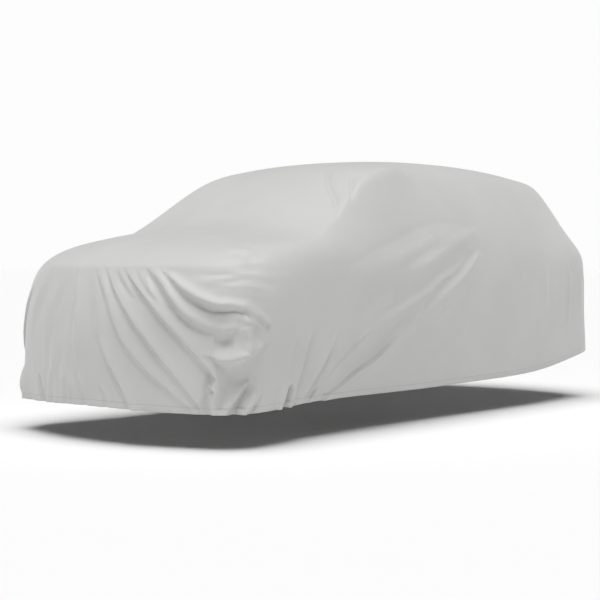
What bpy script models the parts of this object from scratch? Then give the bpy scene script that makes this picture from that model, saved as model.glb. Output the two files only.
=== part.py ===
# A fitted car cover as it sits over a compact sport-utility car.
#
# One cloth body: a thin, hollow shell, open at the bottom. Its form is a coarse
# cage worked out from two tables (stations of the top, nose to tail, and places
# round the skirt), smoothed by subdivision, then pulled in and out along its
# normals by a table of folds.
#
# Metres, +Z up. -Y is the car's nose, +X is the car's left side. The tables
# give heights above the ground and lengths from the middle of the wheelbase;
# the part's own origin is under the cloth of the roof, at ROOF_Y, ROOF_Z.

import bpy
import math
import numpy as np

CLOTH = 0.002          # thickness of the sheet
ROOF_Y = 0.600         # the resting point under the roof, behind mid-wheelbase
ROOF_Z = 1.703         # and its height above the ground
LEVELS = 2             # subdivision of the cage
MIN_FOLD = 0.060       # no fold narrower than the facets can follow

# Stations of the top. y_mid on the centre line, y_side at the edge of the top;
# z_mid the crown; x_rail, z_rail the line where the roof or bonnet turns down;
# x_belt, z_belt the waist line, where the top ends and the skirt begins.
STATIONS = (
    # name       y_mid   y_side  z_mid  x_rail z_rail x_belt z_belt
    ("nose",     -2.085, -1.900, 0.985, 0.555, 0.995, 0.805, 0.955),
    ("hood_1",   -1.900, -1.795, 1.110, 0.695, 1.080, 0.900, 0.990),
    ("hood_2",   -1.520, -1.445, 1.210, 0.815, 1.130, 0.920, 1.035),
    ("cowl",     -1.165, -1.100, 1.245, 0.810, 1.145, 0.930, 1.070),
    ("screen",   -0.855, -0.795, 1.445, 0.745, 1.355, 0.930, 1.095),
    ("header",   -0.475, -0.390, 1.645, 0.675, 1.610, 0.925, 1.100),
    ("roof_1",    0.055,  0.060, 1.700, 0.650, 1.660, 0.925, 1.085),
    ("roof_2",    0.585,  0.585, 1.710, 0.645, 1.670, 0.925, 1.075),
    ("roof_3",    1.095,  1.095, 1.705, 0.635, 1.670, 0.925, 1.065),
    ("roof_4",    1.585,  1.515, 1.665, 0.620, 1.635, 0.910, 1.070),
    ("roof_end",  1.920,  1.740, 1.605, 0.565, 1.590, 0.890, 1.075),
    ("tailgate",  2.150,  1.985, 1.325, 0.620, 1.315, 0.880, 1.095),
    ("tail",      2.305,  2.100, 1.025, 0.580, 1.055, 0.820, 1.065),
)

# Places round the skirt, from the middle of the nose (0) to the middle of the
# tail (1). How far the cloth stands out from the waist line, and at what
# height, at the bumpers and doors (swell) and at the lower edge (hem).
SKIRT = (
    # name          along  swell  z_swell  hem     z_hem
    ("nose",        0.00,  0.130, 0.630,   0.095,  0.210),
    ("nose_corner", 0.14,  0.085, 0.745,   0.085,  0.190),
    ("wheel_front", 0.26,  0.015, 0.705,  -0.085,  0.220),
    ("door",        0.45,  0.015, 0.680,  -0.080,  0.210),
    ("wheel_rear",  0.70,  0.015, 0.685,  -0.015,  0.235),
    ("tail_corner", 0.86,  0.000, 0.725,   0.025,  0.375),
    ("tail",        1.00,  0.040, 0.680,   0.000,  0.375),
)

# Folds: each follows a line over the cover. rise is how far the cloth stands
# out along it (a trough is negative), width its half width, start and end the
# share of the rise left at its two ends.
FOLDS = (
    # name          rise   width  start end   points (x, y, z)
    # the nose: pleats that fan from the bonnet's edge towards the left corner
    ("pleat_0",     0.016, 0.055, 0.2, 0.8, ((-0.05, -2.10, 0.92), (0.08, -2.18, 0.57), (0.19, -2.17, 0.42), (0.29, -2.15, 0.21))),
    ("pleat_1",     0.018, 0.055, 0.2, 0.6, ((0.00, -2.09, 0.92), (0.17, -2.15, 0.73), (0.37, -2.15, 0.47), (0.64, -2.06, 0.24))),
    ("pleat_2",     0.022, 0.055, 0.2, 0.7, ((0.07, -2.09, 0.93), (0.36, -2.14, 0.66), (0.53, -2.11, 0.47), (0.70, -2.04, 0.27))),
    ("pleat_3",     0.026, 0.055, 0.2, 0.6, ((0.21, -2.08, 0.93), (0.53, -2.09, 0.69), (0.69, -2.04, 0.53), (0.77, -2.01, 0.43))),
    ("pleat_4",     0.036, 0.060, 0.2, 0.5, ((0.36, -2.05, 0.94), (0.54, -2.06, 0.82), (0.73, -2.01, 0.68), (0.87, -1.91, 0.65))),
    ("pleat_5",     0.040, 0.060, 0.2, 0.3, ((0.49, -2.04, 0.93), (0.68, -2.01, 0.83), (0.84, -1.92, 0.79), (0.93, -1.76, 0.69))),
    ("cheek",       0.034, 0.060, 0.2, 0.3, ((0.72, -2.02, 0.53), (0.84, -1.95, 0.51), (0.93, -1.78, 0.55))),
    ("cheek_in",   -0.020, 0.055, 0.2, 0.2, ((0.76, -1.99, 0.61), (0.88, -1.90, 0.60))),
    ("under",      -0.034, 0.110, 0.3, 0.3, ((0.76, -1.99, 0.40), (0.88, -1.90, 0.38), (0.93, -1.72, 0.42))),
    ("nose_mid",    0.010, 0.060, 0.3, 0.6, ((-0.20, -2.08, 0.93), (-0.12, -2.18, 0.60), (-0.10, -2.18, 0.21))),
    ("nose_side",   0.018, 0.060, 0.3, 0.3, ((-0.50, -2.02, 0.95), (-0.60, -2.06, 0.76), (-0.64, -2.06, 0.60))),
    ("corner_1",    0.022, 0.055, 0.3, 1.0, ((0.76, -2.00, 0.42), (0.77, -2.00, 0.31), (0.77, -2.01, 0.20))),
    ("corner_2",   -0.026, 0.055, 0.2, 1.0, ((0.92, -1.83, 0.36), (0.86, -1.92, 0.21))),
    # the left side: bunching over the front wheel, and the long fan above it
    ("wheel_1",    -0.036, 0.055, 0.1, 1.0, ((0.93, -1.52, 0.38), (0.91, -1.58, 0.19))),
    ("wheel_2",    -0.020, 0.055, 0.1, 0.6, ((0.93, -1.33, 0.63), (0.92, -1.40, 0.40), (0.91, -1.46, 0.24))),
    ("wheel_3",     0.020, 0.055, 0.1, 0.5, ((0.93, -1.13, 0.57), (0.92, -1.30, 0.36), (0.91, -1.40, 0.22))),
    ("fan_1",       0.008, 0.060, 0.2, 0.2, ((0.84, 0.39, 1.24), (0.86, -0.03, 1.18), (0.89, -0.38, 1.09), (0.93, -1.11, 0.94))),
    ("fan_2",       0.012, 0.060, 0.2, 0.2, ((0.84, 0.41, 1.23), (0.88, 0.07, 1.12), (0.91, -0.27, 1.01), (0.94, -1.02, 0.79))),
    ("fan_3",       0.018, 0.055, 0.2, 0.2, ((0.86, 0.38, 1.18), (0.92, -0.02, 0.96), (0.93, -0.50, 0.76), (0.92, -1.00, 0.53))),
    ("fan_4",       0.024, 0.055, 0.2, 0.2, ((0.89, 0.42, 1.10), (0.92, 0.12, 0.88), (0.93, -0.36, 0.62))),
    ("fan_5",       0.026, 0.055, 0.2, 0.3, ((0.93, -0.45, 0.70), (0.92, -0.91, 0.51), (0.90, -1.13, 0.33))),
    ("fan_6",       0.024, 0.055, 0.2, 0.8, ((0.93, -0.26, 0.74), (0.92, -0.64, 0.50), (0.89, -1.20, 0.23))),
    ("quarter",     0.010, 0.060, 0.1, 0.3, ((0.87, 1.72, 1.05), (0.90, 1.73, 0.72), (0.90, 1.72, 0.50))),
    # the windscreen: slack running down from the front edge of the roof
    ("screen_1",    0.008, 0.060, 0.2, 0.2, ((0.28, -0.40, 1.63), (0.60, -0.77, 1.42), (0.77, -0.96, 1.26))),
    ("mirror",      0.012, 0.060, 0.2, 0.2, ((0.67, -1.78, 1.08), (0.83, -1.72, 1.02))),
    # the right side and the tail, less drawn than the left
    ("r_wheel_1",  -0.028, 0.060, 0.1, 1.0, ((-0.93, -1.46, 0.40), (-0.91, -1.53, 0.19))),
    ("r_wheel_2",  -0.020, 0.060, 0.1, 0.7, ((-0.94, -1.22, 0.60), (-0.91, -1.38, 0.22))),
    ("r_fan_1",     0.010, 0.060, 0.2, 0.2, ((-0.86, 0.22, 1.18), (-0.90, -0.25, 1.04), (-0.94, -0.76, 0.88))),
    ("r_fan_2",     0.018, 0.060, 0.2, 0.2, ((-0.88, 0.26, 1.12), (-0.93, -0.20, 0.88), (-0.93, -0.70, 0.62))),
    ("r_fan_3",     0.022, 0.055, 0.2, 0.4, ((-0.92, 0.20, 0.96), (-0.94, -0.30, 0.66), (-0.92, -0.92, 0.36))),
    ("r_fan_4",     0.018, 0.055, 0.2, 0.6, ((-0.93, 0.10, 0.80), (-0.93, -0.34, 0.50), (-0.90, -0.82, 0.25))),
    ("r_pleat_1",   0.020, 0.060, 0.2, 0.8, ((-0.30, -2.08, 0.93), (-0.42, -2.12, 0.74), (-0.58, -2.07, 0.21))),
    ("r_pleat_2",   0.022, 0.060, 0.2, 0.7, ((-0.42, -2.05, 0.93), (-0.58, -2.05, 0.70), (-0.72, -2.00, 0.23))),
    ("r_quarter",   0.012, 0.060, 0.1, 0.3, ((-0.87, 1.64, 1.04), (-0.90, 1.60, 0.80), (-0.90, 1.58, 0.50))),
    ("tail_1",      0.018, 0.060, 0.1, 0.9, ((0.50, 2.22, 0.98), (0.60, 2.18, 0.72), (0.68, 2.13, 0.38))),
    ("tail_2",      0.018, 0.060, 0.1, 0.9, ((-0.46, 2.24, 0.98), (-0.58, 2.19, 0.70), (-0.66, 2.14, 0.38))),
    ("tail_3",      0.012, 0.060, 0.1, 0.8, ((0.14, 2.32, 0.96), (0.08, 2.34, 0.66), (0.06, 2.32, 0.38))),
)

ACROSS = 7             # cage points across the top: waist, rail, quarter, crown and back


def top_grid():
    """Cage points of the top, station by station, right side to left side."""
    grid = np.zeros((len(STATIONS), ACROSS, 3))
    for row, (_, y_mid, y_side, z_mid, x_rail, z_rail, x_belt, z_belt) in zip(grid, STATIONS):
        row[3] = (0.0, y_mid, z_mid)
        for side in (-1, 1):
            row[3 + side] = (side * 0.52 * x_rail, y_mid + 0.12 * (y_side - y_mid),
                             z_mid + 0.22 * (z_rail - z_mid))
            row[3 + 2 * side] = (side * x_rail, y_mid + 0.45 * (y_side - y_mid), z_rail)
            row[3 + 3 * side] = (side * x_belt, y_side, z_belt)
    return grid


def waist_loop():
    """(station, place across) once round the edge of the top, from mid nose over the left side."""
    last = len(STATIONS) - 1
    loop = [(0, i) for i in range(3, ACROSS)]
    loop += [(j, ACROSS - 1) for j in range(1, last + 1)]
    loop += [(last, i) for i in range(ACROSS - 2, -1, -1)]
    loop += [(j, 0) for j in range(last - 1, -1, -1)]
    loop += [(0, i) for i in range(1, 3)]
    return loop


def cage():
    """Points, faces and creased edges of the coarse cage."""
    grid = top_grid()
    stations = len(STATIONS)
    points = [tuple(p) for p in grid.reshape(-1, 3)]
    at = lambda j, i: j * ACROSS + i
    faces = [(at(j, i), at(j, i + 1), at(j + 1, i + 1), at(j + 1, i))
             for j in range(stations - 1) for i in range(ACROSS - 1)]
    loop = waist_loop()
    waist = np.array([grid[j, i] for j, i in loop])
    step = np.linalg.norm(np.roll(waist, -1, 0) - waist, axis=1)
    run = np.concatenate(([0.0], np.cumsum(step)))
    along = run[:-1] / run[-1] * 2.0
    along = np.where(along > 1.0, 2.0 - along, along)
    tangent = np.roll(waist, -1, 0) - np.roll(waist, 1, 0)
    outward = np.stack((tangent[:, 1], -tangent[:, 0]), 1)
    outward /= np.linalg.norm(outward, axis=1)[:, None]
    place = [row[1] for row in SKIRT]
    read = lambda k: np.interp(along, place, [row[k] for row in SKIRT])
    above = [at(j, i) for j, i in loop]
    for out, z in ((read(2), read(3)), (read(4), read(5))):
        first = len(points)
        points += [(x, y, h) for (x, y), h in zip(waist[:, :2] + outward * out[:, None], z)]
        below = list(range(first, first + len(loop)))
        for k in range(len(loop)):
            n = (k + 1) % len(loop)
            faces.append((above[k], below[k], below[n], above[n]))
        above = below
    creases = {}
    for i in range(ACROSS - 1):
        creases[frozenset((at(0, i), at(0, i + 1)))] = 0.55 if 0 < i < 5 else 0.40
        creases[frozenset((at(stations - 3, i), at(stations - 3, i + 1)))] = 0.25
    for j, sharp in ((1, 0.25), (2, 0.35), (3, 0.45), (4, 0.50), (5, 0.35), (8, 0.20), (9, 0.35), (10, 0.35)):
        for i in (1, 5):
            creases[frozenset((at(j, i), at(j + 1, i)))] = sharp
    for j in range(8, stations - 1):
        for i in (0, 6):
            creases[frozenset((at(j, i), at(j + 1, i)))] = 0.30
    return points, faces, creases


def smooth_form(levels):
    """The cage after subdivision: points and four-sided faces."""
    points, faces, creases = cage()
    mesh = bpy.data.meshes.new("cage")
    mesh.from_pydata(points, [], faces)
    mesh.update()
    crease = mesh.attributes.new("crease_edge", "FLOAT", "EDGE")
    for edge in mesh.edges:
        crease.data[edge.index].value = creases.get(frozenset(edge.vertices), 0.0)
    obj = bpy.data.objects.new("cage", mesh)
    bpy.context.scene.collection.objects.link(obj)
    sub = obj.modifiers.new("smooth", "SUBSURF")
    sub.levels = levels
    sub.render_levels = levels
    graph = bpy.context.evaluated_depsgraph_get()
    fine = obj.evaluated_get(graph).to_mesh()
    verts = np.array([v.co[:] for v in fine.vertices])
    quads = [tuple(p.vertices) for p in fine.polygons]
    obj.evaluated_get(graph).to_mesh_clear()
    bpy.data.objects.remove(obj, do_unlink=True)
    bpy.data.meshes.remove(mesh)
    return verts, quads


def normals(verts, quads):
    """Outward unit normals at the points."""
    q = np.array(quads)
    face = np.cross(verts[q[:, 2]] - verts[q[:, 0]], verts[q[:, 3]] - verts[q[:, 1]])
    out = np.zeros_like(verts)
    for k in range(4):
        np.add.at(out, q[:, k], face)
    return out / np.linalg.norm(out, axis=1)[:, None]


def curve(points, steps=12):
    """A smooth line through a fold's points, and how far along it each step is."""
    p = np.array(points, float)
    p = np.vstack((2 * p[0] - p[1], p, 2 * p[-1] - p[-2]))
    line = []
    for a, b, c, d in zip(p[:-3], p[1:-2], p[2:-1], p[3:]):
        for t in np.linspace(0.0, 1.0, steps, endpoint=False):
            line.append(0.5 * (2 * b + (c - a) * t + (2 * a - 5 * b + 4 * c - d) * t * t
                               + (3 * b - a - 3 * c + d) * t ** 3))
    line.append(p[-2])
    line = np.array(line)
    run = np.concatenate(([0.0], np.cumsum(np.linalg.norm(np.diff(line, axis=0), axis=1))))
    return line, run / run[-1]


def fold_heights(verts):
    """How far the folds move each point along its normal."""
    height = np.zeros(len(verts))
    for _, rise, width, start, end, points in FOLDS:
        line, share = curve(points)
        a, ab = line[:-1], np.diff(line, axis=0)
        rel = verts[:, None, :] - a[None]
        t = np.clip((rel * ab[None]).sum(2) / (ab * ab).sum(1)[None], 0.0, 1.0)
        gap = np.linalg.norm(rel - t[..., None] * ab[None], axis=2)
        near = gap.argmin(1)
        pick = np.arange(len(verts))
        s = share[near] + t[pick, near] * (share[near + 1] - share[near])
        body = np.sin(math.pi * np.clip(s, 0.0, 1.0)) ** 0.7
        body = np.maximum(body, np.where(s < 0.5, start, end))
        height += rise * body * np.exp(-(gap[pick, near] / max(width, MIN_FOLD)) ** 2)
    return height


def shell(verts, quads, thick):
    """A closed body: the outer skin, the inner skin and the strip round the hem."""
    inner = verts - normals(verts, quads) * thick
    count = len(verts)
    both = np.vstack((verts, inner))
    tris = []
    for a, b, c, d in quads:
        if np.linalg.norm(verts[a] - verts[c]) <= np.linalg.norm(verts[b] - verts[d]):
            pair = ((a, b, c), (a, c, d))
        else:
            pair = ((a, b, d), (b, c, d))
        for t in pair:
            tris.append(t)
            tris.append(tuple(count + v for v in reversed(t)))
    seen = {}
    for q in quads:
        for a, b in zip(q, q[1:] + q[:1]):
            seen[(a, b)] = True
    for a, b in seen:
        if (b, a) not in seen:
            tris.append((b, a, count + a))
            tris.append((b, count + a, count + b))
    return both, tris


def cloth_material():
    mat = bpy.data.materials.new("cover_cloth")
    mat.use_nodes = True
    shader = mat.node_tree.nodes["Principled BSDF"]
    shader.inputs["Base Color"].default_value = (0.56, 0.56, 0.55, 1.0)
    shader.inputs["Roughness"].default_value = 0.75
    shader.inputs["Metallic"].default_value = 0.0
    return mat


def main():
    for obj in list(bpy.data.objects):
        bpy.data.objects.remove(obj, do_unlink=True)
    verts, quads = smooth_form(LEVELS)
    verts = verts + normals(verts, quads) * fold_heights(verts)[:, None]
    verts = verts - np.array((0.0, ROOF_Y, ROOF_Z))
    points, tris = shell(verts, quads, CLOTH)
    mesh = bpy.data.meshes.new("cover")
    mesh.from_pydata([tuple(p) for p in points], [], tris)
    mesh.validate()
    mesh.update()
    mesh.shade_smooth()
    mesh.materials.append(cloth_material())
    cover = bpy.data.objects.new("cover", mesh)
    bpy.context.scene.collection.objects.link(cover)


main()
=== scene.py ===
import bpy
import bmesh
import math
import numpy as np
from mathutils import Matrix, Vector, noise
from mathutils.kdtree import KDTree


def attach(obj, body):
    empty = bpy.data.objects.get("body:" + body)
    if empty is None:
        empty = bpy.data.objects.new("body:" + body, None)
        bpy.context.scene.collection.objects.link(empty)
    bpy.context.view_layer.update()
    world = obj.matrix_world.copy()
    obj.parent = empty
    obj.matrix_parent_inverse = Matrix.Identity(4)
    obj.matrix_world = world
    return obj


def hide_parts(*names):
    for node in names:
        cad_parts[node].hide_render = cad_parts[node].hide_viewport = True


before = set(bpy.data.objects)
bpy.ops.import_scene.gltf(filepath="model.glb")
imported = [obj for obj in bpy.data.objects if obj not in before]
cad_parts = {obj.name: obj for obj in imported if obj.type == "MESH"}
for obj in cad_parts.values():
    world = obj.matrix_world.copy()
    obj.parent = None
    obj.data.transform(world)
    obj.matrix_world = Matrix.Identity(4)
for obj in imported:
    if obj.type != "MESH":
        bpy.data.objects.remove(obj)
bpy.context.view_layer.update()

# ---------------------------------------------------------------- sizes
ROOF_Y = 0.600         # the part's origin: under the roof's cloth,
ROOF_Z = 1.703         # this high above the ground
GROUND = -ROOF_Z
HEM = 0.030            # how far the edge is turned up
LEVELS = 4

STATIONS = (
    # name       y_mid   y_side  z_mid  x_rail z_rail x_belt z_belt
    ("nose",     -2.085, -1.900, 0.985, 0.555, 0.995, 0.805, 0.955),
    ("hood_1",   -1.900, -1.795, 1.110, 0.695, 1.080, 0.900, 0.990),
    ("hood_2",   -1.520, -1.445, 1.210, 0.815, 1.130, 0.920, 1.035),
    ("cowl",     -1.165, -1.100, 1.245, 0.810, 1.145, 0.930, 1.070),
    ("screen",   -0.855, -0.795, 1.445, 0.745, 1.355, 0.930, 1.095),
    ("header",   -0.475, -0.390, 1.645, 0.675, 1.610, 0.925, 1.100),
    ("roof_1",    0.055,  0.060, 1.700, 0.650, 1.660, 0.925, 1.085),
    ("roof_2",    0.585,  0.585, 1.710, 0.645, 1.670, 0.925, 1.075),
    ("roof_3",    1.095,  1.095, 1.705, 0.635, 1.670, 0.925, 1.065),
    ("roof_4",    1.585,  1.515, 1.665, 0.620, 1.635, 0.910, 1.070),
    ("roof_end",  1.920,  1.740, 1.605, 0.565, 1.590, 0.890, 1.075),
    ("tailgate",  2.150,  1.985, 1.325, 0.620, 1.315, 0.880, 1.095),
    ("tail",      2.305,  2.100, 1.025, 0.580, 1.055, 0.820, 1.065),
)

SKIRT = (
    # name          along  swell  z_swell  hem     z_hem
    ("nose",        0.00,  0.130, 0.630,   0.095,  0.210),
    ("nose_corner", 0.14,  0.085, 0.745,   0.085,  0.190),
    ("wheel_front", 0.26,  0.015, 0.705,  -0.085,  0.220),
    ("door",        0.45,  0.015, 0.680,  -0.080,  0.210),
    ("wheel_rear",  0.70,  0.015, 0.685,  -0.015,  0.235),
    ("tail_corner", 0.86,  0.000, 0.725,   0.025,  0.375),
    ("tail",        1.00,  0.040, 0.680,   0.000,  0.375),
)

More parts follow.
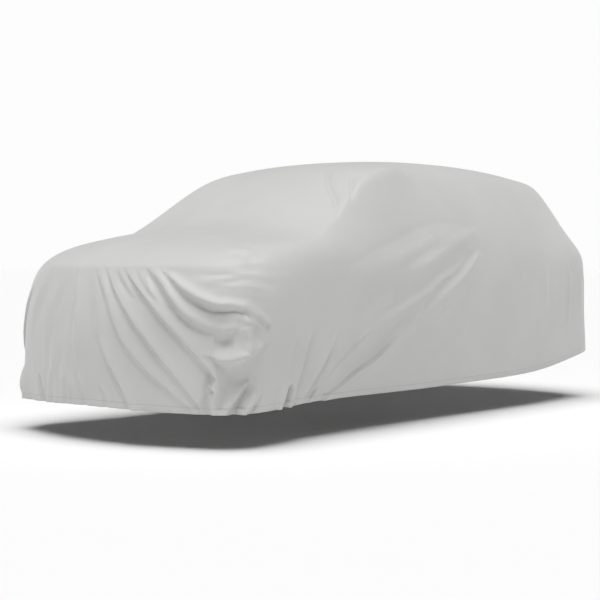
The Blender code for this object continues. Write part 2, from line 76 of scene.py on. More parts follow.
# Folds. rise: how far the cloth stands out (troughs are negative); left, right:
# half widths of its two flanks, seen from outside with the line running down;
# foot: share of the rise taken back beside the steeper flank; start, end:
# share of the rise at the two ends.
FOLDS = (
    # name        rise    left   right  foot start end  points (x, y, z)
    # pleats that fan out of the bonnet's edge towards the near front corner
    ("band_0",    0.009,  0.032, 0.036, 0.3, 0.2, 0.1, ((-0.07, -2.09, 0.95), (0.00, -2.13, 0.80), (0.07, -2.17, 0.63), (0.14, -2.18, 0.50))),
    ("pleat_0",   0.020,  0.015, 0.042, 0.3, 0.1, 1.0, ((0.07, -2.18, 0.59), (0.13, -2.18, 0.49), (0.18, -2.17, 0.41), (0.24, -2.16, 0.31), (0.29, -2.15, 0.20))),
    ("pleat_1",   0.018,  0.016, 0.045, 0.3, 0.1, 0.6, ((-0.04, -2.09, 0.96), (0.06, -2.13, 0.84), (0.14, -2.15, 0.73), (0.24, -2.16, 0.59), (0.34, -2.15, 0.48), (0.48, -2.12, 0.36), (0.62, -2.06, 0.24))),
    ("pleat_2",   0.022,  0.016, 0.042, 0.3, 0.1, 0.7, ((0.04, -2.09, 0.96), (0.12, -2.12, 0.87), (0.22, -2.13, 0.77), (0.33, -2.14, 0.66), (0.42, -2.13, 0.565), (0.50, -2.11, 0.47), (0.58, -2.08, 0.38), (0.67, -2.04, 0.26))),
    ("pleat_3",   0.026,  0.016, 0.046, 0.3, 0.1, 0.7, ((0.18, -2.08, 0.96), (0.28, -2.10, 0.88), (0.39, -2.10, 0.79), (0.50, -2.09, 0.69), (0.58, -2.08, 0.615), (0.67, -2.04, 0.52), (0.74, -2.01, 0.43))),
    ("pleat_4",   0.034,  0.022, 0.036, 0.4, 0.1, 0.15, ((0.34, -2.05, 0.96), (0.43, -2.06, 0.90), (0.51, -2.06, 0.82), (0.60, -2.05, 0.73), (0.68, -2.03, 0.68), (0.74, -2.00, 0.65), (0.79, -1.975, 0.63))),
    ("pleat_5",   0.042,  0.019, 0.030, 0.3, 0.1, 0.3, ((0.46, -2.04, 0.94), (0.58, -2.03, 0.86), (0.67, -2.01, 0.81), (0.76, -1.97, 0.775), (0.84, -1.92, 0.765), (0.89, -1.87, 0.745), (0.93, -1.77, 0.68))),
    ("brow",      0.010,  0.042, 0.042, 0.0, 0.1, 0.3, ((0.60, -2.03, 0.930), (0.70, -1.99, 0.890), (0.79, -1.94, 0.868), (0.87, -1.87, 0.858), (0.93, -1.74, 0.840))),
    ("spray_1",   0.006,  0.014, 0.026, 0.3, 0.1, 0.1, ((-0.01, -2.09, 0.95), (0.05, -2.12, 0.87), (0.11, -2.14, 0.79))),
    ("spray_2",   0.008,  0.013, 0.026, 0.3, 0.1, 0.1, ((0.12, -2.08, 0.96), (0.20, -2.10, 0.89), (0.29, -2.11, 0.81))),
    ("spray_3",   0.008,  0.013, 0.028, 0.3, 0.1, 0.1, ((0.26, -2.07, 0.96), (0.35, -2.08, 0.88), (0.45, -2.09, 0.80))),
    ("spray_4",   0.006,  0.013, 0.028, 0.3, 0.1, 0.1, ((0.33, -2.06, 0.91), (0.40, -2.08, 0.84), (0.49, -2.09, 0.76))),
    # the crumpled cheek over the bumper's corner
    ("cheek_rim", 0.016,  0.018, 0.030, 0.2, 0.2, 0.2, ((0.76, -1.99, 0.66), (0.81, -1.96, 0.645), (0.87, -1.91, 0.645))),
    ("cheek_in", -0.030,  0.026, 0.026, 0.0, 0.2, 0.2, ((0.76, -2.00, 0.598), (0.81, -1.965, 0.583), (0.85, -1.93, 0.58))),
    ("cheek",     0.060,  0.014, 0.042, 0.0, 0.15, 0.15, ((0.75, -2.01, 0.505), (0.80, -1.975, 0.490), (0.85, -1.94, 0.492), (0.90, -1.88, 0.515), (0.93, -1.78, 0.56))),
    ("cheek_fold", 0.036, 0.045, 0.022, 0.2, 0.3, 0.3, ((0.90, -1.87, 0.68), (0.905, -1.86, 0.63), (0.905, -1.86, 0.58), (0.90, -1.87, 0.53))),
    ("cheek_tip", 0.022,  0.030, 0.022, 0.4, 0.3, 0.1, ((0.80, -1.97, 0.74), (0.87, -1.91, 0.735), (0.93, -1.80, 0.68))),
    ("under",    -0.040,  0.110, 0.110, 0.0, 0.3, 0.3, ((0.76, -1.99, 0.40), (0.88, -1.90, 0.38), (0.93, -1.72, 0.42))),
    ("corner_1",  0.026,  0.016, 0.040, 0.6, 0.3, 1.0, ((0.74, -2.01, 0.43), (0.762, -2.00, 0.38), (0.752, -2.01, 0.34), (0.765, -2.00, 0.31), (0.752, -2.01, 0.26), (0.76, -2.01, 0.19))),
    ("corner_2", -0.010,  0.020, 0.020, 0.3, 0.1, 0.6, ((0.80, -1.98, 0.36), (0.81, -1.97, 0.30), (0.80, -1.97, 0.22))),
    ("corner_3", -0.030,  0.020, 0.020, 0.6, 0.1, 1.0, ((0.92, -1.83, 0.36), (0.89, -1.88, 0.29), (0.85, -1.93, 0.20))),
    ("corner_4",  0.014,  0.020, 0.012, 0.5, 0.1, 0.8, ((0.93, -1.77, 0.30), (0.91, -1.83, 0.25), (0.88, -1.89, 0.19))),
    # along the front
    ("nose_mid",  0.012,  0.018, 0.055, 0.4, 0.3, 0.6, ((-0.21, -2.08, 0.95), (-0.16, -2.14, 0.78), (-0.13, -2.18, 0.60), (-0.125, -2.19, 0.36))),
    ("nose_dip", -0.008,  0.050, 0.050, 0.2, 0.2, 0.6, ((-0.30, -2.08, 0.93), (-0.27, -2.15, 0.70), (-0.27, -2.18, 0.44))),
    ("nose_side", 0.010,  0.070, 0.040, 0.2, 0.3, 0.2, ((-0.50, -2.02, 0.97), (-0.55, -2.04, 0.86), (-0.60, -2.06, 0.76), (-0.64, -2.06, 0.62))),
    ("nose_edge", 0.005,  0.040, 0.040, 0.2, 0.3, 0.3, ((-0.58, -1.98, 0.99), (-0.68, -1.97, 0.92), (-0.77, -1.94, 0.83), (-0.80, -1.92, 0.70))),
    ("gather_1", -0.034,  0.020, 0.020, 0.2, 0.05, 1.0, ((-0.36, -2.17, 0.42), (-0.37, -2.17, 0.32), (-0.38, -2.16, 0.19))),
    ("gather_2", -0.030,  0.018, 0.018, 0.2, 0.05, 1.0, ((-0.21, -2.19, 0.39), (-0.23, -2.19, 0.30), (-0.25, -2.18, 0.19))),
    ("gather_3", -0.034,  0.018, 0.018, 0.2, 0.05, 1.0, ((-0.13, -2.19, 0.38), (-0.10, -2.20, 0.29), (-0.06, -2.19, 0.19))),
    ("gather_4", -0.022,  0.016, 0.016, 0.2, 0.05, 1.0, ((0.06, -2.19, 0.32), (0.09, -2.19, 0.26), (0.11, -2.18, 0.19))),
    ("gather_5", -0.030,  0.018, 0.018, 0.2, 0.05, 1.0, ((-0.54, -2.10, 0.36), (-0.51, -2.12, 0.27), (-0.48, -2.12, 0.19))),
    ("gather_6",  0.040,  0.085, 0.085, 0.0, 0.05, 0.7, ((-0.76, -1.99, 0.40), (-0.77, -1.99, 0.29), (-0.77, -1.98, 0.19))),
    # round the near front wheel
    ("wheel_0",  -0.007,  0.020, 0.030, 0.3, 0.1, 0.4, ((0.94, -1.50, 0.58), (0.94, -1.52, 0.48), (0.94, -1.53, 0.39))),
    ("wheel_1",  -0.085,  0.020, 0.020, 0.3, 0.05, 1.0, ((0.93, -1.525, 0.34), (0.92, -1.55, 0.27), (0.91, -1.59, 0.18))),
    ("wheel_2",  -0.022,  0.015, 0.032, 0.4, 0.1, 0.6, ((0.93, -1.34, 0.63), (0.93, -1.37, 0.53), (0.92, -1.42, 0.40), (0.91, -1.47, 0.26))),
    ("wheel_3",   0.024,  0.036, 0.018, 0.4, 0.1, 0.3, ((0.93, -1.10, 0.58), (0.93, -1.17, 0.50), (0.92, -1.27, 0.37), (0.91, -1.37, 0.24))),
    ("wheel_4",   0.012,  0.018, 0.022, 0.5, 0.1, 0.8, ((0.91, -1.24, 0.30), (0.90, -1.33, 0.21))),
    # fan out of the near rear window towards that wheel
    ("fan_1",     0.010,  0.045, 0.090, 0.4, 0.2, 0.2, ((0.84, 0.42, 1.235), (0.86, -0.03, 1.18), (0.88, -0.30, 1.11), (0.91, -0.66, 1.02), (0.93, -1.00, 0.95))),
    ("fan_2",     0.005,  0.036, 0.060, 0.3, 0.0, 0.2, ((0.84, 0.20, 1.205), (0.87, 0.04, 1.16), (0.89, -0.20, 1.10), (0.91, -0.50, 1.02), (0.92, -0.80, 0.95))),
    ("fan_3",     0.013,  0.036, 0.042, 0.2, 0.0, 0.1, ((0.83, 0.52, 1.235), (0.855, 0.33, 1.185), (0.88, 0.15, 1.13), (0.90, -0.05, 1.06), (0.91, -0.22, 1.00), (0.93, -0.58, 0.85))),
    ("fan_4",     0.026,  0.027, 0.060, 0.2, 0.0, 0.1, ((0.89, 0.48, 1.09), (0.905, 0.37, 1.03), (0.92, 0.24, 0.95), (0.93, 0.09, 0.87), (0.93, -0.08, 0.79), (0.93, -0.21, 0.705), (0.93, -0.34, 0.63))),
    ("fan_5",     0.036,  0.030, 0.070, 0.0, 0.1, 0.5, ((0.93, -0.24, 0.750), (0.93, -0.40, 0.655), (0.92, -0.54, 0.575), (0.92, -0.65, 0.49), (0.91, -0.78, 0.416), (0.91, -0.89, 0.367), (0.90, -1.01, 0.298), (0.89, -1.14, 0.23))),
    ("fan_6",     0.019,  0.022, 0.045, 0.2, 0.0, 0.2, ((0.90, 0.28, 1.05), (0.92, 0.10, 0.96), (0.92, -0.07, 0.905), (0.93, -0.21, 0.838), (0.93, -0.36, 0.783), (0.93, -0.55, 0.71), (0.93, -0.71, 0.635), (0.92, -0.91, 0.535), (0.91, -1.05, 0.44), (0.90, -1.13, 0.365))),
    ("fan_low",  -0.018,  0.075, 0.075, 0.0, 0.1, 0.2, ((0.93, -0.55, 0.84), (0.93, -0.77, 0.77), (0.93, -0.94, 0.68), (0.93, -1.06, 0.59), (0.92, -1.13, 0.49))),
    ("fan_7",     0.007,  0.024, 0.034, 0.4, 0.1, 0.1, ((0.92, 0.24, 0.86), (0.93, 0.06, 0.76), (0.93, -0.10, 0.66))),
    ("fan_8",     0.006,  0.026, 0.040, 0.4, 0.1, 0.1, ((0.89, 0.05, 1.10), (0.91, -0.22, 1.02), (0.93, -0.60, 0.92))),
    ("fan_9",     0.006,  0.032, 0.032, 0.3, 0.2, 0.3, ((0.92, 0.70, 0.95), (0.93, 0.40, 0.70), (0.92, 0.05, 0.45), (0.90, -0.20, 0.30))),
    # rear quarter
    ("quarter_1", 0.010,  0.030, 0.022, 0.3, 0.1, 0.3, ((0.87, 1.72, 1.05), (0.89, 1.73, 0.90), (0.90, 1.73, 0.72), (0.90, 1.72, 0.50))),
    ("quarter_2", 0.007,  0.034, 0.026, 0.3, 0.1, 0.2, ((0.90, 1.36, 1.00), (0.92, 1.34, 0.84), (0.92, 1.33, 0.66))),
    ("quarter_3", 0.007,  0.022, 0.022, 0.3, 0.1, 0.3, ((0.84, 1.92, 1.00), (0.86, 1.93, 0.80), (0.87, 1.92, 0.60))),
    # roof and windscreen
    ("screen_1", -0.014,  0.011, 0.026, 0.0, 0.2, 0.1, ((0.28, -0.40, 1.63), (0.48, -0.65, 1.51), (0.60, -0.77, 1.42), (0.71, -0.88, 1.33), (0.77, -0.96, 1.26))),
    ("screen_2", -0.012,  0.011, 0.024, 0.0, 0.2, 0.1, ((0.55, -0.50, 1.56), (0.67, -0.67, 1.46), (0.74, -0.77, 1.38))),
    # far side
    ("r_wheel_1", -0.034, 0.020, 0.020, 0.5, 0.1, 1.0, ((-0.93, -1.46, 0.40), (-0.92, -1.49, 0.30), (-0.91, -1.53, 0.18))),
    ("r_wheel_2", -0.020, 0.020, 0.026, 0.5, 0.1, 0.7, ((-0.94, -1.22, 0.60), (-0.93, -1.28, 0.44), (-0.91, -1.38, 0.22))),
    ("r_wheel_3",  0.018, 0.020, 0.034, 0.5, 0.1, 0.6, ((-0.93, -1.00, 0.58), (-0.92, -1.12, 0.42), (-0.90, -1.26, 0.22))),
    ("r_fan_1",    0.010, 0.060, 0.030, 0.5, 0.2, 0.2, ((-0.86, 0.22, 1.18), (-0.90, -0.25, 1.04), (-0.94, -0.76, 0.88))),
    ("r_fan_2",    0.018, 0.075, 0.034, 0.4, 0.2, 0.2, ((-0.88, 0.26, 1.12), (-0.93, -0.20, 0.88), (-0.93, -0.70, 0.62))),
    ("r_fan_3",    0.026, 0.075, 0.034, 0.4, 0.2, 0.4, ((-0.92, 0.20, 0.96), (-0.94, -0.30, 0.66), (-0.92, -0.92, 0.36))),
    ("r_fan_4",    0.024, 0.070, 0.032, 0.4, 0.2, 0.6, ((-0.93, 0.10, 0.80), (-0.93, -0.34, 0.50), (-0.90, -0.82, 0.24))),
    ("r_pleat_1",  0.007, 0.060, 0.030, 0.3, 0.1, 0.4, ((-0.30, -2.08, 0.95), (-0.40, -2.12, 0.74), (-0.44, -2.13, 0.50), (-0.45, -2.12, 0.30))),
    ("r_pleat_2",  0.014, 0.050, 0.024, 0.3, 0.1, 0.7, ((-0.72, -1.96, 0.86), (-0.80, -1.93, 0.66), (-0.86, -1.87, 0.44), (-0.90, -1.80, 0.22))),
    ("r_quarter",  0.012, 0.024, 0.030, 0.3, 0.1, 0.3, ((-0.87, 1.64, 1.04), (-0.90, 1.60, 0.80), (-0.90, 1.58, 0.50))),
    ("r_belt",     0.008, 0.024, 0.030, 0.3, 0.2, 0.2, ((-0.90, 0.95, 1.00), (-0.93, 0.55, 0.78), (-0.93, 0.20, 0.52))),
    # tail
    ("tail_1",     0.016, 0.018, 0.040, 0.4, 0.1, 0.9, ((0.50, 2.22, 1.00), (0.60, 2.18, 0.72), (0.68, 2.13, 0.37))),
    ("tail_2",     0.016, 0.040, 0.018, 0.4, 0.1, 0.9, ((-0.46, 2.24, 1.00), (-0.58, 2.19, 0.70), (-0.66, 2.14, 0.37))),
    ("tail_3",     0.012, 0.020, 0.044, 0.3, 0.1, 0.8, ((0.14, 2.32, 0.98), (0.08, 2.34, 0.66), (0.06, 2.32, 0.37))),
    ("tail_4",     0.010, 0.044, 0.020, 0.3, 0.1, 0.7, ((-0.16, 2.32, 0.98), (-0.20, 2.34, 0.70), (-0.24, 2.32, 0.37))),
)

# Small slack crumples: soft patches of finer unevenness.
CRUMPLES = (
    # name       centre                reach  size (x, y, z)        depth
    ("mirror",   (0.79, -1.84, 0.97),  0.17,  (0.16, 0.16, 0.035),  0.008),
    ("mirror_2", (0.76, -1.76, 1.06),  0.12,  (0.14, 0.10, 0.060),  0.009),
    ("cheek",    (0.86, -1.92, 0.62),  0.13,  (0.07, 0.07, 0.070),  0.012),
    ("corner",   (0.82, -1.96, 0.30),  0.15,  (0.06, 0.06, 0.110),  0.008),
    ("nose",     (-0.20, -2.18, 0.27), 0.28,  (0.07, 0.07, 0.130),  0.009),
    ("wheel",    (0.92, -1.20, 0.30),  0.22,  (0.08, 0.08, 0.120),  0.006),
    ("far_nose", (-0.80, -1.94, 0.30), 0.20,  (0.08, 0.08, 0.120),  0.010),
    ("r_wheel",  (-0.92, -1.50, 0.34), 0.26,  (0.08, 0.09, 0.140),  0.012),
    ("r_mirror", (-0.86, -1.40, 1.00), 0.18,  (0.14, 0.14, 0.060),  0.008),
    ("tail",     (-0.40, 2.26, 0.50),  0.30,  (0.10, 0.10, 0.200),  0.008),
)

ACROSS = 7


def top_grid():
    grid = np.zeros((len(STATIONS), ACROSS, 3))
    for row, (_, y_mid, y_side, z_mid, x_rail, z_rail, x_belt, z_belt) in zip(grid, STATIONS):
        row[3] = (0.0, y_mid, z_mid)
        for side in (-1, 1):
            row[3 + side] = (side * 0.52 * x_rail, y_mid + 0.12 * (y_side - y_mid),
                             z_mid + 0.22 * (z_rail - z_mid))
            row[3 + 2 * side] = (side * x_rail, y_mid + 0.45 * (y_side - y_mid), z_rail)
            row[3 + 3 * side] = (side * x_belt, y_side, z_belt)
    return grid


def waist_loop():
    last = len(STATIONS) - 1
    loop = [(0, i) for i in range(3, ACROSS)]
    loop += [(j, ACROSS - 1) for j in range(1, last + 1)]
    loop += [(last, i) for i in range(ACROSS - 2, -1, -1)]
    loop += [(j, 0) for j in range(last - 1, -1, -1)]
    loop += [(0, i) for i in range(1, 3)]
    return loop


def cage():
    grid = top_grid()
    stations = len(STATIONS)
    points = [tuple(p) for p in grid.reshape(-1, 3)]
    at = lambda j, i: j * ACROSS + i
    faces = [(at(j, i), at(j, i + 1), at(j + 1, i + 1), at(j + 1, i))
             for j in range(stations - 1) for i in range(ACROSS - 1)]
    loop = waist_loop()
    waist = np.array([grid[j, i] for j, i in loop])
    step = np.linalg.norm(np.roll(waist, -1, 0) - waist, axis=1)
    run = np.concatenate(([0.0], np.cumsum(step)))
    along = run[:-1] / run[-1] * 2.0
    along = np.where(along > 1.0, 2.0 - along, along)
    tangent = np.roll(waist, -1, 0) - np.roll(waist, 1, 0)
    outward = np.stack((tangent[:, 1], -tangent[:, 0]), 1)
    outward /= np.linalg.norm(outward, axis=1)[:, None]
    place = [row[1] for row in SKIRT]
    read = lambda k: np.interp(along, place, [row[k] for row in SKIRT])
    above = [at(j, i) for j, i in loop]
    for out, z in ((read(2), read(3)), (read(4), read(5))):
        first = len(points)
        points += [(x, y, h) for (x, y), h in zip(waist[:, :2] + outward * out[:, None], z)]
        below = list(range(first, first + len(loop)))
        for k in range(len(loop)):
            n = (k + 1) % len(loop)
            faces.append((above[k], below[k], below[n], above[n]))
        above = below
    creases = {}
    for i in range(ACROSS - 1):
        creases[frozenset((at(0, i), at(0, i + 1)))] = 0.55 if 0 < i < 5 else 0.40
        creases[frozenset((at(stations - 3, i), at(stations - 3, i + 1)))] = 0.25
    for j, sharp in ((1, 0.25), (2, 0.35), (3, 0.60), (4, 0.70), (5, 0.50), (8, 0.20), (9, 0.35), (10, 0.35)):
        for i in (1, 5):
            creases[frozenset((at(j, i), at(j + 1, i)))] = sharp
    for j in range(8, stations - 1):
        for i in (0, 6):
            creases[frozenset((at(j, i), at(j + 1, i)))] = 0.30
    return points, faces, creases


def smooth_form(levels):
    points, faces, creases = cage()
    mesh = bpy.data.meshes.new("cage")
    mesh.from_pydata(points, [], faces)
    mesh.update()
    crease = mesh.attributes.new("crease_edge", "FLOAT", "EDGE")
    for edge in mesh.edges:
        crease.data[edge.index].value = creases.get(frozenset(edge.vertices), 0.0)
    obj = bpy.data.objects.new("cage", mesh)
    bpy.context.scene.collection.objects.link(obj)
    sub = obj.modifiers.new("smooth", "SUBSURF")
    sub.levels = levels
    sub.render_levels = levels
    graph = bpy.context.evaluated_depsgraph_get()
    fine = obj.evaluated_get(graph).to_mesh()
    verts = np.zeros(len(fine.vertices) * 3)
    fine.vertices.foreach_get("co", verts)
    quads = [tuple(p.vertices) for p in fine.polygons]
    obj.evaluated_get(graph).to_mesh_clear()
    bpy.data.objects.remove(obj, do_unlink=True)
    bpy.data.meshes.remove(mesh)
    return verts.reshape(-1, 3), np.array(quads)


def closer(verts, quads):
    """Halve the mesh beside the folds, and again beside the crisp near ones."""
    bm = bmesh.new()
    made = [bm.verts.new(v) for v in verts]
    for q in quads:
        bm.faces.new([made[k] for k in q])
    for turn in (1, 2):
        faces = list(bm.faces)
        mid = np.array([f.calc_center_median() for f in faces])
        pick = np.zeros(len(faces), bool)
        for name, _, left, right, _, _, _, points in FOLDS:
            steep = min(left, right)
            calm = name.startswith(("r_", "tail", "quarter"))
            reach = (0.025 if calm else 0.050) + steep if turn == 1 else 0.004 + 1.5 * steep
            if steep > (0.065 if turn == 1 else 0.0305) or (turn == 2 and calm):
                continue
            line = curve(points)[0][::4]
            box = ((mid > line.min(0) - reach) & (mid < line.max(0) + reach)).all(1)
            ids = np.nonzero(box & ~pick)[0]
            if len(ids):
                gap = np.linalg.norm(mid[ids][:, None] - line[None], axis=2).min(1)
                pick[ids[gap < reach + 0.01]] = True
        bm.edges.index_update()
        edges = set()
        for k in np.nonzero(pick)[0]:
            edges.update(faces[k].edges)
        bmesh.ops.subdivide_edges(bm, edges=sorted(edges, key=lambda e: e.index), cuts=1, use_grid_fill=True)
    return bm


def read_normals(bm):
    bm.normal_update()
    return np.array([v.normal for v in bm.verts])


def curve(points, steps=14):
    p = np.array(points, float)
    p = np.vstack((2 * p[0] - p[1], p, 2 * p[-1] - p[-2]))
    line = []
    for a, b, c, d in zip(p[:-3], p[1:-2], p[2:-1], p[3:]):
        for t in np.linspace(0.0, 1.0, steps, endpoint=False):
            line.append(0.5 * (2 * b + (c - a) * t + (2 * a - 5 * b + 4 * c - d) * t * t
                               + (3 * b - a - 3 * c + d) * t ** 3))
    line.append(p[-2])
    line = np.array(line)
    run = np.concatenate(([0.0], np.cumsum(np.linalg.norm(np.diff(line, axis=0), axis=1))))
    return line, run / run[-1]


def fold_heights(verts, nrm):
    height = np.zeros(len(verts))
    for _, rise, left, right, foot, start, end, points in FOLDS:
        line, share = curve(points)
        reach = max(left, right) * 3.2
        low, high = line.min(0) - reach, line.max(0) + reach
        near_ids = np.nonzero(((verts > low) & (verts < high)).all(1))[0]
        if not len(near_ids):
            continue
        v = verts[near_ids]
        a, ab = line[:-1], np.diff(line, axis=0)
        rel = v[:, None, :] - a[None]
        t = np.clip((rel * ab[None]).sum(2) / (ab * ab).sum(1)[None], 0.0, 1.0)
        off = rel - t[..., None] * ab[None]
        gap = np.linalg.norm(off, axis=2)
        near = gap.argmin(1)
        pick = np.arange(len(v))
        s = share[near] + t[pick, near] * (share[near + 1] - share[near])
        across = np.cross(ab[near], nrm[near_ids])
        d = gap[pick, near] * np.sign((off[pick, near] * across).sum(1))
        steep = min(left, right)
        turn = 1.0 if left <= right else -1.0
        d = d + (0.6 * steep * turn if left != right else 0.0)
        ends = 0.5 + 0.5 * np.minimum(1.0, np.minimum(s / 0.3 + start, (1.0 - s) / 0.3 + end))
        wl, wr = left * ends, right * ends
        w = np.where(d > 0.0, wl, wr)
        soft = 0.005 if steep < 0.027 else 0.008 if steep < 0.031 else 0.014
        d = np.sign(d) * (np.sqrt(d * d + soft * soft) - soft)
        body = np.sin(math.pi * np.clip(s, 0.0, 1.0)) ** 0.6
        body = np.maximum(body, np.where(s < 0.5, start, end))
        beyond = (s <= 0.0) | (s >= 1.0)
        shape = np.exp(-(np.abs(d) / w) ** np.where(beyond, 2.0, 1.5))
        ws = np.where(turn > 0, wl, wr)
        trough = 1.0 if steep < 0.028 else 0.6
        shape -= foot * np.exp(-((d * turn - 2.0 * ws) / (trough * ws)) ** 2)
        if left == right:
            shape -= foot * np.exp(-((d * turn + 2.0 * ws) / (1.0 * ws)) ** 2)
        height[near_ids] += rise * body * shape
    return height


def wobble(verts, size, depth, seed):
    out = np.empty((len(verts), 3))
    for k, v in enumerate(verts):
        out[k] = noise.noise_vector(Vector((v[0] / size + seed, v[1] / size, v[2] / size)))
    return out * depth


def hem_places(bm):
    """Each low point's distance along the hem and height above it."""
    edges = [e for e in bm.edges if e.is_boundary]
    link = {}
    for e in edges:
        for v in e.verts:
            link.setdefault(v, []).append(e.other_vert(v))
    first = min(link, key=lambda v: (round(v.co.y, 3), abs(v.co.x)))
    link[first].sort(key=lambda v: v.co.x)
    ring, last, here = [first], None, first
    while True:
        step = [v for v in link[here] if v is not last]
        last, here = here, step[0]
        if here is first:
            break
        ring.append(here)
    points = np.array([v.co for v in ring])
    run = np.concatenate(([0.0], np.cumsum(np.linalg.norm(np.diff(points, axis=0), axis=1))))
    tree = KDTree(len(ring))
    for k, p in enumerate(points):
        tree.insert((p[0], p[1], 0.0), k)
    tree.balance()
    along, up = np.zeros(len(bm.verts)), np.full(len(bm.verts), 2.0)
    bm.verts.index_update()
    for v in bm.verts:
        if v.co.z < 0.75:
            _, k, _ = tree.find((v.co.x, v.co.y, 0.0))
            along[v.index], up[v.index] = run[k], v.co.z - points[k][2]
    return ring, run, along, up


base, quads = smooth_form(LEVELS)
bm = closer(base, quads)
bm.verts.ensure_lookup_table()
ring, run, along, up = hem_places(bm)
verts = np.array([v.co for v in bm.verts])
nrm = read_normals(bm)
seen = verts + wobble(verts, 0.24, 0.007, 3.0) + wobble(verts, 0.06, 0.0016, 8.0)
height = fold_heights(seen, nrm)
# the hanging cloth is never quite even; over bonnet and roof it lies taut
loose = np.clip((1.02 - verts[:, 2]) / 0.12, 0.0, 1.0)
loose *= np.clip(1.0 - nrm[:, 2], 0.0, 1.0)
height += loose * (wobble(verts, 0.30, 0.0045, 21.0)[:, 0] + wobble(verts, 0.10, 0.0016, 5.0)[:, 0])
for k, (_, centre, reach, size, depth) in enumerate(CRUMPLES):
    far = np.linalg.norm(verts - np.array(centre), axis=1) / reach
    for i in np.nonzero(far < 2.2)[0]:
        v = verts[i]
        rough = noise.noise(Vector((v[0] / size[0] + 13.0 * k, v[1] / size[1], v[2] / size[2])))
        height[i] += depth * 1.6 * rough * math.exp(-far[i] ** 2)
# small gathers where the elastic draws the hem in
pull = np.array([noise.noise(Vector((a * 11.0, 0.0, 4.0))) + 0.5 * noise.noise(Vector((a * 23.0, 0.0, 9.0)))
                 for a in along])
height += 0.007 * (0.25 + 0.75 * np.abs(nrm[:, 1])) * pull * np.exp(-(np.maximum(up, 0.0) / 0.075) ** 1.5)
verts = verts + nrm * height[:, None]
droop = np.clip(1.0 - np.abs(nrm[:, 2]) * 1.5, 0.0, 1.0) * np.clip(up / 0.18, 0.0, 1.0)
droop *= np.clip(-nrm[:, 1], 0.0, 1.0)
verts[:, 2] -= 0.30 * np.maximum(height, 0.0) * droop
for v, p in zip(bm.verts, verts):
    v.co = p

# the hem: its edge turned up inside
low_ring = [v.co.copy() for v in ring]
inner = []
for k, p in enumerate(low_ring):
    q, r = low_ring[k - 1], low_ring[(k + 1) % len(low_ring)]
    way = Vector((r.x - q.x, r.y - q.y, 0.0)).normalized()
    inward = Vector((-way.y, way.x, 0.0))
    if inward.dot(Vector((-p.x, -p.y * 0.4, 0.0))) < 0.0:
        inward = -inward
    inner.append(((p + inward * 0.0016 + Vector((0, 0, -0.0012))), (p + inward * 0.0034 + Vector((0, 0, 0.0006))),
                  (p + inward * 0.0042 + Vector((0, 0, HEM)))))
rows = [list(ring)] + [[bm.verts.new(t[k]) for t in inner] for k in range(3)]
for a, b in zip(rows[:-1], rows[1:]):
    for k in range(len(ring)):
        n = (k + 1) % len(ring)
        bm.faces.new((a[k], b[k], b[n], a[n]))
bmesh.ops.recalc_face_normals(bm, faces=bm.faces)
for v in bm.verts:
    v.co -= Vector((0.0, ROOF_Y, ROOF_Z))
bm.verts.index_update()
hem_along = np.concatenate((along, np.tile(np.array(run), 3)))
hem_up = np.concatenate((up, np.full(len(ring) * 3, -0.004)))

mesh = bpy.data.meshes.new("cover_sheet")
bm.to_mesh(mesh)
bm.free()
mesh.shade_smooth()
for name, values in (("hem_along", hem_along), ("hem_up", hem_up)):
    attribute = mesh.attributes.new(name, "FLOAT", "POINT")
    attribute.data.foreach_set("value", values)
cover = bpy.data.objects.new("cover_sheet", mesh)
bpy.context.scene.collection.objects.link(cover)


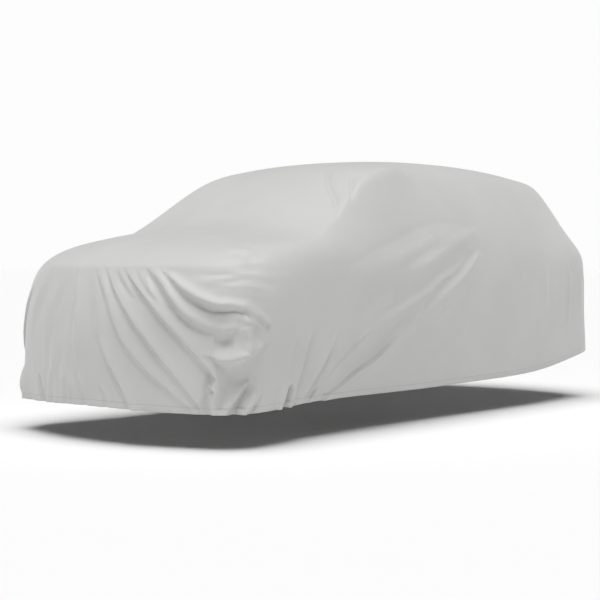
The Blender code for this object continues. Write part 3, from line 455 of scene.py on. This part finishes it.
# ---------------------------------------------------------------- cloth
def cloth_material():
    mat = bpy.data.materials.new("cover_cloth")
    mat.use_nodes = True
    nt = mat.node_tree
    n, link = nt.nodes, nt.links
    n.clear()
    out = n.new("ShaderNodeOutputMaterial")
    bsdf = n.new("ShaderNodeBsdfPrincipled")
    link.new(bsdf.outputs["BSDF"], out.inputs["Surface"])
    bsdf.inputs["Metallic"].default_value = 0.0
    bsdf.inputs["Sheen Weight"].default_value = 0.25
    bsdf.inputs["Sheen Roughness"].default_value = 0.45
    bsdf.inputs["Specular IOR Level"].default_value = 0.35
    coord = n.new("ShaderNodeTexCoord")
    # broad, faint unevenness of the silver coating
    broad = n.new("ShaderNodeTexNoise")
    broad.inputs["Scale"].default_value = 2.2
    broad.inputs["Detail"].default_value = 4.0
    link.new(coord.outputs["Object"], broad.inputs["Vector"])
    fine = n.new("ShaderNodeTexNoise")
    fine.inputs["Scale"].default_value = 420.0
    fine.inputs["Detail"].default_value = 2.0
    link.new(coord.outputs["Object"], fine.inputs["Vector"])
    mix = n.new("ShaderNodeMix")
    mix.data_type = "FLOAT"
    mix.inputs[0].default_value = 0.35
    link.new(broad.outputs["Fac"], mix.inputs[2])
    link.new(fine.outputs["Fac"], mix.inputs[3])
    ramp = n.new("ShaderNodeValToRGB")
    ramp.color_ramp.elements[0].position = 0.30
    ramp.color_ramp.elements[0].color = (0.530, 0.534, 0.524, 1)
    ramp.color_ramp.elements[1].position = 0.70
    ramp.color_ramp.elements[1].color = (0.570, 0.574, 0.566, 1)
    link.new(mix.outputs[0], ramp.inputs["Fac"])
    rough = n.new("ShaderNodeMapRange")
    rough.inputs["To Min"].default_value = 0.52
    rough.inputs["To Max"].default_value = 0.66
    link.new(fine.outputs["Fac"], rough.inputs["Value"])
    link.new(rough.outputs["Result"], bsdf.inputs["Roughness"])
    # fine pressed texture of the cloth
    bump = n.new("ShaderNodeBump")
    bump.inputs["Strength"].default_value = 0.12
    bump.inputs["Distance"].default_value = 0.0006
    link.new(fine.outputs["Fac"], bump.inputs["Height"])
    # the hem's line of stitches, a little above the edge, pressed in as a groove, with painted shade darkening the
    # colour in it
    up = n.new("ShaderNodeAttribute")
    up.attribute_name = "hem_up"
    run = n.new("ShaderNodeAttribute")
    run.attribute_name = "hem_along"
    above = n.new("ShaderNodeMath")
    above.operation = "SUBTRACT"
    above.inputs[1].default_value = 0.034
    link.new(up.outputs["Fac"], above.inputs[0])
    away = n.new("ShaderNodeMath")
    away.operation = "ABSOLUTE"
    link.new(above.outputs[0], away.inputs[0])
    seam = n.new("ShaderNodeMapRange")
    seam.interpolation_type = "SMOOTHSTEP"
    seam.inputs["From Min"].default_value = 0.0008
    seam.inputs["From Max"].default_value = 0.0034
    seam.inputs["To Min"].default_value = 1.0
    seam.inputs["To Max"].default_value = 0.0
    link.new(away.outputs[0], seam.inputs["Value"])
    pitch = n.new("ShaderNodeMath")
    pitch.operation = "PINGPONG"
    pitch.inputs[1].default_value = 0.004
    link.new(run.outputs["Fac"], pitch.inputs[0])
    stitch = n.new("ShaderNodeMapRange")
    stitch.inputs["From Max"].default_value = 0.004
    stitch.inputs["To Min"].default_value = 0.45
    stitch.inputs["To Max"].default_value = 1.0
    link.new(pitch.outputs[0], stitch.inputs["Value"])
    groove = n.new("ShaderNodeMath")
    groove.operation = "MULTIPLY"
    link.new(seam.outputs["Result"], groove.inputs[0])
    link.new(stitch.outputs["Result"], groove.inputs[1])
    sewn = n.new("ShaderNodeBump")
    sewn.invert = True
    sewn.inputs["Strength"].default_value = 0.4
    sewn.inputs["Distance"].default_value = 0.0015
    link.new(groove.outputs[0], sewn.inputs["Height"])
    link.new(bump.outputs["Normal"], sewn.inputs["Normal"])
    link.new(sewn.outputs["Normal"], bsdf.inputs["Normal"])
    # painted shade: the base colour is mixed towards dark grey along the stitch groove
    shade = n.new("ShaderNodeMix")
    shade.data_type = "RGBA"
    shade.inputs[7].default_value = (0.44, 0.44, 0.43, 1.0)
    link.new(groove.outputs[0], shade.inputs[0])
    link.new(ramp.outputs["Color"], shade.inputs[6])
    link.new(shade.outputs[2], bsdf.inputs["Base Color"])
    return mat


cover.data.materials.append(cloth_material())
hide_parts("cover")
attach(cover, "root")

# ---------------------------------------------------------------- studio
floor_mesh = bpy.data.meshes.new("floor")
bm = bmesh.new()
N = 96
rim = [bm.verts.new((400.0 * math.cos(2 * math.pi * k / N), 400.0 * math.sin(2 * math.pi * k / N), GROUND)) for k in range(N)]
centre = bm.verts.new((0, 0, GROUND))
for k in range(N):
    bm.faces.new((centre, rim[k], rim[(k + 1) % N]))
bm.to_mesh(floor_mesh)
bm.free()
floor = bpy.data.objects.new("floor", floor_mesh)
bpy.context.scene.collection.objects.link(floor)
fmat = bpy.data.materials.new("floor_paint")
fmat.use_nodes = True
fb = fmat.node_tree.nodes["Principled BSDF"]
fb.inputs["Base Color"].default_value = (0.87, 0.87, 0.87, 1)
fb.inputs["Roughness"].default_value = 0.9
fb.inputs["Specular IOR Level"].default_value = 0.1
floor_mesh.materials.append(fmat)

# a plain white room: bright low down, dim overhead, where the soft light is
world = bpy.data.worlds.new("studio")
bpy.context.scene.world = world
world.use_nodes = True
wn, wl = world.node_tree.nodes, world.node_tree.links
bg = wn["Background"]
where = wn.new("ShaderNodeTexCoord")
split = wn.new("ShaderNodeSeparateXYZ")
wl.new(where.outputs["Generated"], split.inputs["Vector"])
high = wn.new("ShaderNodeMapRange")
high.interpolation_type = "SMOOTHSTEP"
high.inputs["From Min"].default_value = 0.19
high.inputs["From Max"].default_value = 0.25
high.inputs["To Min"].default_value = 0.98
high.inputs["To Max"].default_value = 0.12
wl.new(split.outputs["Z"], high.inputs["Value"])
wl.new(high.outputs["Result"], bg.inputs["Strength"])
bg.inputs["Color"].default_value = (1.0, 1.0, 1.0, 1)


def sun(name, azimuth, elevation, strength, angle):
    data = bpy.data.lights.new(name, "SUN")
    data.energy = strength
    data.angle = math.radians(angle)
    obj = bpy.data.objects.new(name, data)
    bpy.context.scene.collection.objects.link(obj)
    a, e = math.radians(azimuth), math.radians(elevation)
    to = Vector((-math.sin(a) * math.cos(e), math.cos(a) * math.cos(e), -math.sin(e)))
    obj.rotation_euler = to.to_track_quat("-Z", "Y").to_euler()
    return obj


sun("top_light", 30, 80, 3.1, 55)

# ---------------------------------------------------------------- camera
cam_data = bpy.data.cameras.new("camera")
cam = bpy.data.objects.new("camera", cam_data)
bpy.context.scene.collection.objects.link(cam)
cam_data.sensor_width = 36.0
cam_data.lens = 82.65
cam.location = (5.716, -7.407 - ROOF_Y, 0.983 - ROOF_Z)
cam.rotation_euler = (math.radians(90.0 - 1.386), 0.0, math.radians(38.90))
bpy.context.scene.camera = cam
bpy.context.scene.view_settings.view_transform = "Standard"

print("cover triangles", sum(len(p.vertices) - 2 for p in mesh.polygons))
